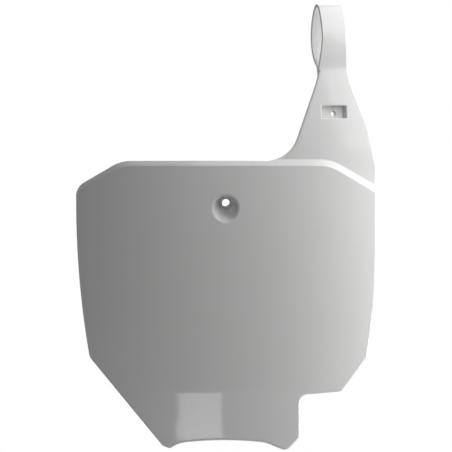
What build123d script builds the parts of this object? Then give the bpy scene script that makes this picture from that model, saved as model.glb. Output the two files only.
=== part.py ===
from build123d import *
import math
import os

# A racing number board: one moulded sheet of plastic. Its field is rolled about an upright
# axis, so that a number lies flat on it, and has a turned-back edge. A neck rises at the upper
# right, and a strap loops back from its top and ends behind the screw pocket.
# X runs to the right, Z up, and the face looks towards -Y. The origin is the fixing hole.

# Sheet and curvature
wall = 2.6
field_radius = 240
crease_height = -155.5
crease_blend = 60
flap_turn = 6
flap_length = 60

# Outline of the field, seen from the front
side_reach = 124.4
top_height = 34.7
chamfer_reach = 87
chamfer_round = 31
shoulder_height = 13
shoulder_round = 13
left_bend_height = 0
left_foot_inset = 11.3
right_side_height = 31
right_side_round = 24
right_bend_height = -40
right_foot_inset = 7.3
foot_height = -128.2
foot_round = 11

# Lower edge, with the arched cut-out between two tips and the stepped notch
tip_round = 2
left_tip_reach = 52.2
left_tip_height = -201.4
left_toe_reach = 46.1
left_toe_height = -203.6
right_tip_reach = 50.4
right_tip_height = -205.9
right_tip_round = 7
left_arch_reach = 38.4
left_arch_height = -199
right_arch_reach = 33
right_arch_height = -198.7
arch_height = -196.6
arch_foot_round = 26
notch_reach = 61.1
notch_corner_height = -194.3
notch_round = 7.5
shelf_height = -159.5
shelf_rise = 2.8
shelf_reach = 96
shelf_round = 4

# Band that folds back along the three upper edges, down to the sheet of the neck
band_height = 4.2
band_rake = 1.17
band_fold = 1.2
band_drop = 0.8
band_foot = 1.8
rim_round = 1.5

# Neck: its middle line is set from the right side of the board
neck_inset = 35.3
neck_radius = 500
neck_top_height = 110.5
neck_width = 22.5
neck_bend_width = 29.4
neck_bend_height = 98.4
neck_bend_round = 40
neck_root_spread = 36.5
neck_root_round = 27
neck_shoulder_inset = 6.4
neck_shoulder_height = 62.5
neck_shoulder_round = 55

# Strap loop
strap_width = 20.2
strap_root_width = 25
strap_taper_height = 27
strap_bend_radius = 10
strap_bend = 16
belly_height = 28
belly_bulge = 2.4
loop_height = 55.5
loop_depth = 26
loop_back_height = 30
heel_depth = 18.8
heel_height = 8
tail_gap = 0.4
tail_rise = 24
tail_foot = 8

# Pocket in the neck, with its screw hole
pocket_shift = 0.9
pocket_height = 75.7
pocket_width = 22.6
pocket_rise = 11
pocket_depth = 5
pocket_draft = 5
pocket_corner = 1.2
pocket_edge_round = 0.8
screw_radius = 2.5
screw_drop = 1.2
screw_shift = 1.4

# Cup around the fixing hole
cup_depth = 14
cup_tilt = 17
cup_rim_radius = 10.1
cup_rim_round = 2.4
cup_floor_radius = 5.2
cup_floor_round = 2.5
bolt_radius = 3.1

# Sizes that follow from the ones above; the axis of the roll stands upright behind the field,
# and full turns about it have their seam on the far side
axis_y = field_radius - cup_depth
roll_axis = Axis((0, axis_y, 0), (0, 0, 1))
neck_reach = side_reach - neck_inset
band_depth = band_height / band_rake + band_drop
edge_depth = band_depth + wall
overlap = 1.5
front_gap = 10
band_run_out = 25
front_plane = Plane.XZ.offset(cup_depth + front_gap)
head_height = top_height + front_gap
reach_back = 75
boss_reach_back = 35
blank_reach = side_reach + overlap
blank_height = neck_top_height - right_tip_height
seam_turn = 180
neck_slope = math.degrees(math.asin((neck_top_height - top_height) / neck_radius))
pocket_slope = math.degrees(math.asin((pocket_height - top_height) / neck_radius))
band_reach_back = band_depth + overlap
band_rise = band_reach_back * band_rake - band_height


def upright_plane(turn):
    # Upright plane through the axis of the roll: local x is the distance from the axis.
    swing = math.radians(turn)
    outward = (math.sin(swing), -math.cos(swing), 0)
    return Plane(origin=(0, axis_y, 0), x_dir=outward, z_dir=(-math.cos(swing), -math.sin(swing), 0))


def facing_plane(turn, slope, point):
    # Plane on a point of an upright section, looking straight into the board.
    swing = math.radians(turn)
    lean = math.radians(slope)
    return Plane(
        origin=(point[0] * math.sin(swing), axis_y - point[0] * math.cos(swing), point[1]),
        x_dir=(math.cos(swing), math.sin(swing), 0),
        z_dir=(-math.sin(swing) * math.cos(lean), math.cos(swing) * math.cos(lean), -math.sin(lean)),
    )


def head_point(depth):
    # Upper end of the field's upright section, a given depth behind its face.
    return (field_radius - depth, head_height)


def crease_point(depth):
    # Fold between the field and the flap, which keeps the wall even.
    return (field_radius - depth, crease_height - depth * math.tan(math.radians(flap_turn / 2)))


def flap_end(depth):
    lean = math.radians(flap_turn)
    crease = crease_point(depth)
    return (crease[0] + flap_length * math.sin(lean), crease[1] - flap_length * math.cos(lean))


def neck_point(slope, depth):
    # Above the field the sheet leans back on an arc.
    reach = neck_radius - depth
    return (
        field_radius - neck_radius + reach * math.cos(math.radians(slope)),
        top_height + reach * math.sin(math.radians(slope)),
    )


def field_faces(solid):
    # Front and back face of the field, which are the two largest.
    return solid.faces().sort_by(SortBy.AREA)[-2:].sort_by(Axis.Y)


def holed_neck_faces(solid):
    # Back and front face of the neck, both pierced by the pocket.
    faces = solid.faces().filter_by(GeomType.REVOLUTION).filter_by(
        lambda f: len(f.inner_wires()) == 1 and f.center().Z > top_height
    )
    return faces.sort_by(Axis.X)


def upper_edges(edges):
    # Edges along the top and the two chamfers: above the fixing hole and between the sides.
    return edges.filter_by(lambda e: (e @ 0.5).Z > 0 and abs((e @ 0.5).X) < side_reach)


def blank():
    # Upright slab a little wider than the board, whose sides trim the block and the sheet flush.
    with BuildPart() as slab:
        with BuildSketch(front_plane):
            Rectangle(2 * blank_reach, 2 * blank_height)
        extrude(amount=-reach_back)
    return slab.part


def field_block(inset, back, rise, band_back):
    # The field between two depths behind its face, with the band along its upper edges.
    # The band is cut past the sides and then trimmed, so that it is even up to them.
    with BuildPart() as block:
        with BuildSketch(upright_plane(seam_turn)) as section:
            with BuildLine():
                Polyline(
                    head_point(inset),
                    crease_point(inset),
                    flap_end(inset),
                    flap_end(back),
                    crease_point(back),
                    head_point(back),
                    close=True,
                )
            make_face()
            creases = section.vertices().filter_by_position(
                Axis.Y, crease_height - overlap, crease_height + overlap
            )
            fillet(creases, crease_blend)
        revolve(axis=roll_axis)
        with BuildSketch(front_plane) as upper:
            fall = (top_height - shoulder_height) / (side_reach - chamfer_reach)
            wide = side_reach + band_run_out
            eaves = shoulder_height - (wide - side_reach) * fall
            bottom = right_tip_height - front_gap
            with BuildLine():
                Polyline(
                    (-chamfer_reach, top_height),
                    (chamfer_reach, top_height),
                    (wide, eaves),
                    (wide, bottom),
                    (-wide, bottom),
                    (-wide, eaves),
                    close=True,
                )
            make_face()
            fillet(upper.vertices().group_by(Axis.Y)[-1], chamfer_round)
            offset(amount=rise, kind=Kind.INTERSECTION)
        extrude(amount=-reach_back, mode=Mode.INTERSECT)
        front = field_faces(block)[0]
        edges = upper_edges(front.edges())
        chamfer(edges, length=band_back * band_rake, length2=band_back, reference=front)
        add(blank(), mode=Mode.INTERSECT)
    return block.part


# Outline of the whole board, neck included
left_shoulder = (-side_reach, shoulder_height)
left_bend = (-side_reach, left_bend_height)
left_foot = (left_foot_inset - side_reach, foot_height)
right_side = (side_reach, right_side_height)
right_bend = (side_reach, right_bend_height)
right_foot = (side_reach - right_foot_inset, foot_height)
left_chamfer = (-chamfer_reach, top_height)
neck_root = (neck_reach - neck_root_spread, top_height)
neck_left_bend = (neck_reach - neck_bend_width / 2, neck_bend_height)
neck_left = (neck_reach - neck_width / 2, neck_top_height + overlap)
neck_right = (neck_reach + neck_width / 2, neck_top_height + overlap)
neck_right_bend = (neck_reach + neck_bend_width / 2, neck_bend_height)
neck_shoulder = (side_reach - neck_shoulder_inset, neck_shoulder_height)
left_tip = (-left_tip_reach, left_tip_height)
right_tip = (right_tip_reach, right_tip_height)
left_toe = (-left_toe_reach, left_toe_height)
left_arch = (-left_arch_reach, left_arch_height)
right_arch = (right_arch_reach, right_arch_height)
notch_corner = (notch_reach, notch_corner_height)
notch_top = (notch_reach, shelf_height)
shelf_end = (shelf_reach, shelf_height + shelf_rise)
with BuildSketch(front_plane) as outline:
    with BuildLine():
        TangentArc(left_bend, left_foot, tangent=(0, -1))
        Polyline(left_bend, left_shoulder, left_chamfer, neck_root, neck_left_bend, neck_left)
        Polyline(neck_left, neck_right, neck_right_bend, neck_shoulder, right_side, right_bend)
        TangentArc(right_bend, right_foot, tangent=(0, -1))
        Polyline(right_foot, shelf_end, notch_top, notch_corner, right_tip, right_arch)
        ThreePointArc(right_arch, (0, arch_height), left_arch)
        Polyline(left_arch, left_toe, left_tip, left_foot)
    make_face()
    for corner, size in (
        (left_chamfer, chamfer_round),
        (left_shoulder, shoulder_round),
        (left_foot, foot_round),
        (right_foot, foot_round),
        (right_side, right_side_round),
        (left_tip, tip_round),
        (left_toe, tip_round),
        (right_tip, right_tip_round),
        (notch_corner, tip_round),
        (notch_top, notch_round),
        (shelf_end, shelf_round),
        (left_arch, arch_foot_round),
        (right_arch, arch_foot_round),
        (neck_root, neck_root_round),
        (neck_left_bend, neck_bend_round),
        (neck_right_bend, neck_bend_round),
        (neck_shoulder, neck_shoulder_round),
    ):
        fillet(outline.vertices().sort_by_distance(corner + (0,))[0], size)

# Space behind the field, which leaves an even wall and a turned-back edge. The raked inner
# face of the band lies one wall inside the outer one, so it starts and ends further in.
shrink = wall * (1 + band_rake - math.hypot(1, band_rake))
inner_back = band_reach_back - shrink / band_rake
with BuildPart() as hollow:
    add(field_block(wall, boss_reach_back, band_rise - wall, inner_back))
    with BuildSketch(front_plane):
        add(outline.sketch)
        offset(amount=-wall, kind=Kind.INTERSECTION)
    extrude(amount=-reach_back, mode=Mode.INTERSECT)

# Cup: its section lies in the tilted plane through the hole
tilt = math.radians(cup_tilt)
cup_plane = Plane(origin=(0, 0, 0), x_dir=(1, 0, 0), z_dir=(0, -math.cos(tilt), -math.sin(tilt)))
cup_section = Plane(origin=(0, 0, 0), x_dir=(1, 0, 0), z_dir=(0, math.sin(tilt), -math.cos(tilt)))
cup_axis = Axis((0, 0, 0), cup_plane.z_dir)
cup_flare = (cup_rim_radius - cup_floor_radius) / cup_depth
cup_reach = cup_depth + front_gap
cup_grow = wall * (math.hypot(1, cup_flare) - cup_flare)
with BuildPart() as cup_body:
    with BuildSketch(cup_section):
        with BuildLine():
            Polyline(
                (0, -wall),
                (cup_floor_radius + cup_grow, -wall),
                (cup_floor_radius + cup_grow + cup_flare * (cup_reach + wall), cup_reach),
                (0, cup_reach),
                close=True,
            )
        make_face()
    revolve(axis=cup_axis)
    chamfer(cup_body.faces().sort_by(Axis.Y)[-1].edges(), wall / 2)
    with BuildSketch(upright_plane(seam_turn)):
        with BuildLine():
            Polyline(
                (field_radius - wall / 2, crease_height),
                (field_radius - wall / 2, head_height),
                (field_radius - boss_reach_back, head_height),
                (field_radius - boss_reach_back, crease_height),
                close=True,
            )
        make_face()
    revolve(axis=roll_axis, mode=Mode.INTERSECT)
with BuildPart() as cup_space:
    with BuildSketch(cup_section):
        with BuildLine():
            Polyline(
                (0, 0),
                (cup_floor_radius, 0),
                (cup_floor_radius + cup_flare * cup_reach, cup_reach),
                (0, cup_reach),
                close=True,
            )
        make_face()
    revolve(axis=cup_axis)
    fillet(cup_space.faces().sort_by(Axis.Y)[-1].edges(), cup_floor_round)
    with BuildSketch(cup_plane.offset(-2 * wall)):
        Circle(bolt_radius)
    extrude(amount=2 * wall + cup_depth)

# Pocket: it looks straight into the sheet of the neck
pocket_point = neck_point(pocket_slope, band_depth)
pocket_turn = math.degrees(math.asin((neck_reach + pocket_shift) / pocket_point[0]))
pocket_plane = facing_plane(pocket_turn, pocket_slope, pocket_point)
with BuildPart() as pocket_body:
    with BuildSketch(pocket_plane.offset(wall / 2)):
        RectangleRounded(
            pocket_width + 2 * wall, pocket_rise + 2 * wall, pocket_corner + wall
        )
    extrude(amount=pocket_depth + wall / 2, taper=pocket_draft)
with BuildPart() as pocket_space:
    with BuildSketch(pocket_plane.offset(-wall / 2)):
        RectangleRounded(pocket_width, pocket_rise, pocket_corner)
    extrude(amount=pocket_depth + wall / 2, taper=pocket_draft)
    with BuildSketch(pocket_plane):
        with Locations((screw_shift, screw_drop)):
            Circle(screw_radius)
    extrude(amount=pocket_depth + 2 * wall + tail_gap + overlap)

# Strap: the middle line of its thickness, drawn in the upright plane of the neck
neck_turn = math.degrees(math.asin(neck_reach / neck_point(neck_slope, band_depth)[0]))
strap_arc = 3 * math.degrees(strap_width / field_radius)
strap_start = neck_point(neck_slope, band_depth + wall / 2)
strap_lean = math.radians(neck_slope)
tail_lean = math.radians(pocket_slope)
tail_back = pocket_depth + wall + tail_gap + wall / 2
tail_line = Plane(
    origin=(
        pocket_point[0] - tail_back * math.cos(tail_lean),
        pocket_point[1] - tail_back * math.sin(tail_lean),
        0,
    ),
    x_dir=(-math.sin(tail_lean), math.cos(tail_lean), 0),
    z_dir=(0, 0, 1),
)
tail_start = tail_line.from_local_coords((tail_rise, 0, 0))
tail_end = tail_line.from_local_coords((-pocket_rise / 2 - tail_foot, 0, 0))
with BuildPart() as strap:
    with BuildSketch(upright_plane(neck_turn - strap_arc / 2)):
        with BuildLine():
            root = JernArc(
                start=strap_start,
                tangent=(-math.sin(strap_lean), math.cos(strap_lean)),
                radius=strap_bend_radius,
                arc_size=-strap_bend,
            )
            belly = (strap_start[0] + belly_bulge, strap_start[1] + belly_height)
            crown = (belly[0] - loop_depth / 2 + wall / 2, strap_start[1] + loop_height - wall / 2)
            back = (belly[0] - loop_depth + wall, strap_start[1] + loop_back_height)
            heel = (belly[0] - heel_depth + wall, strap_start[1] + heel_height)
            Spline(
                root @ 1,
                belly,
                crown,
                back,
                heel,
                tail_start,
                tangents=(root % 1, (math.sin(tail_lean), -math.cos(tail_lean))),
            )
            Line(tail_start, tail_end)
        trace(line_width=wall)
    revolve(axis=roll_axis, revolution_arc=strap_arc)
# Both sides of the strap, seen from the front; local y runs down. Only the front run widens
# towards its root.
strap_front = facing_plane(neck_turn, 0, (strap_start[0] + front_gap, strap_start[1]))
with BuildPart() as strap_sides:
    with BuildSketch(strap_front):
        Rectangle(strap_width, 2 * loop_height + front_gap)
    extrude(amount=reach_back)
    with BuildSketch(strap_front):
        with BuildLine():
            Polyline(
                (-strap_root_width / 2, overlap),
                (strap_root_width / 2, overlap),
                (strap_width / 2, -strap_taper_height),
                (-strap_width / 2, -strap_taper_height),
                close=True,
            )
        make_face()
    extrude(amount=front_gap + wall)
    add(strap.part, mode=Mode.INTERSECT)

# Sheet behind the field, which runs on upwards as the neck
with BuildPart() as sheet:
    with BuildSketch(upright_plane(seam_turn)) as section:
        with BuildLine():
            for depth in (band_depth, edge_depth):
                Polyline(flap_end(depth), crease_point(depth), neck_point(0, depth))
                ThreePointArc(
                    neck_point(0, depth),
                    neck_point(neck_slope / 2, depth),
                    neck_point(neck_slope, depth),
                )
            Line(flap_end(band_depth), flap_end(edge_depth))
            Line(neck_point(neck_slope, band_depth), neck_point(neck_slope, edge_depth))
        make_face()
        creases = section.vertices().filter_by_position(
            Axis.Y, crease_height - overlap, crease_height + overlap
        )
        fillet(creases, crease_blend)
    revolve(axis=roll_axis)
    add(blank(), mode=Mode.INTERSECT)

with BuildPart() as number_board:
    add(field_block(0, edge_depth - overlap / 2, band_rise, band_reach_back))
    fillet(upper_edges(field_faces(number_board)[0].edges()), band_fold)
    add(sheet.part)
    # Foot of the band, where it runs out on the sheet
    fillet(upper_edges(number_board.edges(Select.NEW)), band_foot)
    extrude(outline.sketch, amount=-reach_back, mode=Mode.INTERSECT)
    # Rim: the front edge of the right side is enough, the rounding runs on all the way round
    side_edges = number_board.faces().sort_by(Axis.X)[-1].edges().sort_by(SortBy.LENGTH)[-2:]
    fillet(side_edges.sort_by(Axis.Y)[0], rim_round)
    add(hollow.part, mode=Mode.SUBTRACT)
    add(cup_body.part)
    add(pocket_body.part)
    add(strap_sides.part)
    add(cup_space.part, mode=Mode.SUBTRACT)
    add(pocket_space.part, mode=Mode.SUBTRACT)
    # Roundings of the cup, in front and behind, and of the pocket
    fillet(field_faces(number_board)[0].inner_wires()[0].edges(), cup_rim_round)
    fillet(field_faces(number_board)[1].inner_wires()[0].edges(), cup_rim_round)
    fillet(holed_neck_faces(number_board)[1].inner_wires()[0].edges(), pocket_edge_round)

number_board.part.label = "number_board"
os.makedirs("parts", exist_ok=True)
export_step(number_board.part, "parts/number_board.step")
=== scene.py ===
import math

import bpy
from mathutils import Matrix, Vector

# The racing number board: one glossy white moulding, hung up in a white studio. Three soft lamps
# light it from the right, a flat strip of light in front shows in the flap, and a lamp behind
# brightens the back and the inside of the strap.

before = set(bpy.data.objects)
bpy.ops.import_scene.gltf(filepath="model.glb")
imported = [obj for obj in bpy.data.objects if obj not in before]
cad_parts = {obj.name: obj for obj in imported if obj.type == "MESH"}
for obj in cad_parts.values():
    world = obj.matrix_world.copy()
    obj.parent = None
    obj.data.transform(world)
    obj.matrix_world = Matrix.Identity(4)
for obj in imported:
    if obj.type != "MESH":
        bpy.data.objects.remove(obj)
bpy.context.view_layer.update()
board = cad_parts["number_board"]

MM = 0.001
WHITE = (1, 1, 1, 1)


# Node trees

class Value:
    """A number socket that takes part in Python expressions."""

    def __init__(self, shop, socket):
        self.shop = shop
        self.socket = socket

    def _math(self, operation, first, second):
        made = self.shop.node("ShaderNodeMath", {"operation": operation}, {0: first, 1: second})
        return made.value()

    def __add__(self, other):
        return self._math("ADD", self, other)

    def __radd__(self, other):
        return self._math("ADD", other, self)

    def __mul__(self, other):
        return self._math("MULTIPLY", self, other)

    def __rmul__(self, other):
        return self._math("MULTIPLY", other, self)


class Made:
    """One node of a tree, with its outputs by name or number."""

    def __init__(self, shop, node):
        self.shop = shop
        self.outputs = node.outputs

    def out(self, key=0):
        return self.outputs[key]

    def value(self, key=0):
        return Value(self.shop, self.outputs[key])


class Shop:
    """The node tree of a material, of the world or of a modifier."""

    def __init__(self, tree):
        self.tree = tree
        self.tree.nodes.clear()

    def node(self, kind, settings=None, sockets=None):
        made = self.tree.nodes.new(kind)
        for name, setting in (settings or {}).items():
            setattr(made, name, setting)
        for key, given in (sockets or {}).items():
            if isinstance(given, Value):
                given = given.socket
            if isinstance(given, bpy.types.NodeSocket):
                self.tree.links.new(given, made.inputs[key])
            else:
                made.inputs[key].default_value = given
        return Made(self, made)


def shader_shop(owner):
    """The emptied node tree of a material or a world."""
    owner.use_nodes = True
    return Shop(owner.node_tree)


# Camera, far off with a long lens, so that the board is seen almost without perspective

VIEW_WIDTH = 374.6 * MM
VIEW_DISTANCE = 9000 * MM
VIEW_CENTRE = Vector((0.16, 0, -19.4)) * MM
SENSOR_WIDTH = 36
NEAREST_SEEN = 50 * MM
FARTHEST_SEEN = 60000 * MM


def front_camera():
    data = bpy.data.cameras.new("camera")
    data.sensor_width = SENSOR_WIDTH
    data.lens = SENSOR_WIDTH * VIEW_DISTANCE / VIEW_WIDTH
    data.clip_start = NEAREST_SEEN
    data.clip_end = FARTHEST_SEEN
    camera = bpy.data.objects.new("camera", data)
    camera.location = VIEW_CENTRE + Vector((0, -VIEW_DISTANCE, 0))
    camera.rotation_euler = (math.radians(90), 0, 0)
    bpy.context.scene.collection.objects.link(camera)
    bpy.context.scene.camera = camera


front_camera()


# White plastic: broad clouds where it flowed thinner, a fine grain and a faint orange-peel skin.
# Each scale is a number of waves to the metre.

PLASTIC = (0.74, 0.74, 0.735, 1)
PLASTIC_THIN = (0.70, 0.70, 0.695, 1)
PLASTIC_IOR = 1.49
CLOUD_SCALE = 9.0
SKIN_SCALE = 120.0
GRAIN_SCALE = 900.0
GRAIN_SHARE = 0.2
SMOOTHEST = 0.07
CLOUD_ROUGHNESS = 0.03
GRAIN_ROUGHNESS = 0.02
SKIN_SHARE = 0.7
RELIEF_STRENGTH = 0.02
RELIEF_DEPTH = 0.2 * MM


def white_plastic():
    material = bpy.data.materials.new("white_plastic")
    shop = shader_shop(material)
    place = shop.node("ShaderNodeTexCoord").out("Object")

    def waves(scale, detail):
        return shop.node(
            "ShaderNodeTexNoise", {}, {"Vector": place, "Scale": scale, "Detail": detail}
        ).value("Fac")

    clouds = waves(CLOUD_SCALE, 2.0)
    grain = waves(GRAIN_SCALE, 2.0)
    skin = waves(SKIN_SCALE, 1.0)
    thin = clouds * (1 - GRAIN_SHARE) + grain * GRAIN_SHARE
    colour = shop.node(
        "ShaderNodeMix",
        {"data_type": "RGBA"},
        {"Factor": thin, "A": PLASTIC, "B": PLASTIC_THIN},
    ).out("Result")
    relief = shop.node(
        "ShaderNodeBump",
        {},
        {
            "Height": skin * SKIN_SHARE + grain * (1 - SKIN_SHARE),
            "Strength": RELIEF_STRENGTH,
            "Distance": RELIEF_DEPTH,
        },
    ).out("Normal")
    shader = shop.node(
        "ShaderNodeBsdfPrincipled",
        {},
        {
            "Base Color": colour,
            "Roughness": SMOOTHEST + clouds * CLOUD_ROUGHNESS + grain * GRAIN_ROUGHNESS,
            "IOR": PLASTIC_IOR,
            "Normal": relief,
        },
    ).out("BSDF")
    shop.node("ShaderNodeOutputMaterial", {}, {"Surface": shader})
    return material


board.data.materials.clear()
board.data.materials.append(white_plastic())


# Even shading: the moulded faces are joined along their shared edges, only sharp edges stay
# crisp, and the large faces lead the small ones of the roundings beside them.

CRISP_ANGLE = math.radians(28)
JOIN_DISTANCE = 0.01 * MM
LARGE_FACE_WEIGHT = 100


def even_shading(piece):
    group = bpy.data.node_groups.new("even_shading", "GeometryNodeTree")
    for way in ("INPUT", "OUTPUT"):
        group.interface.new_socket("Geometry", in_out=way, socket_type="NodeSocketGeometry")
    shop = Shop(group)
    start = shop.node("NodeGroupInput").out()
    joined = shop.node(
        "GeometryNodeMergeByDistance", {}, {"Geometry": start, "Distance": JOIN_DISTANCE}
    ).out()
    bare = shop.node(
        "GeometryNodeRemoveAttribute", {}, {"Geometry": joined, "Name": "custom_normal"}
    ).out()
    smooth = shop.node(
        "GeometryNodeSetShadeSmooth", {"domain": "FACE"}, {"Geometry": bare, "Shade Smooth": True}
    ).out()
    turn = shop.node("GeometryNodeInputMeshEdgeAngle").out()
    sharp = shop.node(
        "FunctionNodeCompare",
        {"data_type": "FLOAT", "operation": "GREATER_THAN"},
        {0: turn, 1: CRISP_ANGLE},
    ).out()
    crisp = shop.node(
        "GeometryNodeSetShadeSmooth",
        {"domain": "EDGE"},
        {"Geometry": smooth, "Selection": sharp, "Shade Smooth": False},
    ).out()
    shop.node("NodeGroupOutput", {}, {0: crisp})
    shading = piece.modifiers.new("even_shading", "NODES")
    shading.node_group = group
    weights = piece.modifiers.new("large_faces_lead", "WEIGHTED_NORMAL")
    weights.mode = "FACE_AREA"
    weights.weight = LARGE_FACE_WEIGHT
    weights.keep_sharp = True


even_shading(board)


# Studio: a pale floor that keeps the shadow near the board and runs out to the white around it

FLOOR_HEIGHT = -420 * MM
FLOOR_RADIUS = 2200 * MM
FLOOR_CORNERS = 128
FLOOR_COLOUR = (0.7, 0.7, 0.7, 1)
FADE_START = 300 * MM
FADE_END = 1200 * MM
FADE_AT_START = 0.5
AMBIENT_STRENGTH = 0.02


def studio_floor():
    bpy.ops.mesh.primitive_circle_add(
        vertices=FLOOR_CORNERS,
        radius=FLOOR_RADIUS,
        fill_type="NGON",
        location=(0, 0, FLOOR_HEIGHT),
    )
    floor = bpy.context.object
    floor.name = "floor"
    material = bpy.data.materials.new("pale_floor")
    shop = shader_shop(material)
    place = shop.node("ShaderNodeTexCoord").out("Object")
    reach = shop.node("ShaderNodeVectorMath", {"operation": "LENGTH"}, {0: place}).value("Value")
    fade = shop.node(
        "ShaderNodeMapRange",
        {},
        {
            "Value": reach,
            "From Min": FADE_START,
            "From Max": FADE_END,
            "To Min": FADE_AT_START,
            "To Max": 1.0,
        },
    ).value("Result")
    seen = shop.node("ShaderNodeLightPath").value("Is Camera Ray")
    pale = shop.node("ShaderNodeBsdfDiffuse", {}, {"Color": FLOOR_COLOUR}).out()
    white = shop.node("ShaderNodeEmission", {}, {"Color": WHITE, "Strength": 1.0}).out()
    mixed = shop.node("ShaderNodeMixShader", {}, {0: fade * seen, 1: pale, 2: white}).out()
    shop.node("ShaderNodeOutputMaterial", {}, {"Surface": mixed})
    floor.data.materials.append(material)


def studio_world():
    world = bpy.data.worlds.new("studio")
    bpy.context.scene.world = world
    shop = shader_shop(world)
    path = shop.node("ShaderNodeLightPath")
    straight = path.value("Is Camera Ray")
    mirrored = path.value("Is Glossy Ray")
    passed = path.value("Is Transmission Ray")
    seen = shop.node(
        "ShaderNodeMath", {"operation": "MINIMUM"}, {0: straight + mirrored + passed, 1: 1.0}
    ).value()
    light = shop.node(
        "ShaderNodeBackground", {}, {"Color": WHITE, "Strength": AMBIENT_STRENGTH}
    ).out()
    white = shop.node("ShaderNodeBackground", {}, {"Color": WHITE, "Strength": 1.0}).out()
    mixed = shop.node("ShaderNodeMixShader", {}, {0: seen, 1: light, 2: white}).out()
    shop.node("ShaderNodeOutputWorld", {}, {"Surface": mixed})


studio_floor()
studio_world()


# Lamps

STRAP_CENTRE = Vector((90, 20, 140)) * MM


def soft_lamp(name, azimuth, elevation, distance, width, height, power, aim=Vector()):
    """A rectangular lamp that faces its aim; azimuth 0 is in front of the board, 90 on its right."""
    data = bpy.data.lights.new(name, "AREA")
    data.shape = "RECTANGLE"
    data.size = width
    data.size_y = height
    data.energy = power
    swing = math.radians(azimuth)
    rise = math.radians(elevation)
    way = Vector(
        (math.sin(swing) * math.cos(rise), -math.cos(swing) * math.cos(rise), math.sin(rise))
    )
    lamp = bpy.data.objects.new(name, data)
    lamp.location = aim + way * distance
    lamp.rotation_euler = way.to_track_quat("Z", "Y").to_euler()
    bpy.context.scene.collection.objects.link(lamp)


soft_lamp("low", azimuth=105, elevation=-16, distance=1.5, width=0.7, height=0.7, power=41)
soft_lamp("side", azimuth=80, elevation=35, distance=0.7, width=0.8, height=0.8, power=3.2)
soft_lamp("upper", azimuth=45, elevation=58, distance=0.7, width=0.9, height=0.9, power=3.2)
soft_lamp("front", azimuth=-10.9, elevation=5.3, distance=2.0, width=0.66, height=0.06, power=0.8)
soft_lamp(
    "back", azimuth=165, elevation=20, distance=0.6, width=0.4, height=0.4, power=8,
    aim=STRAP_CENTRE,
)

bpy.context.scene.view_settings.view_transform = "Standard"
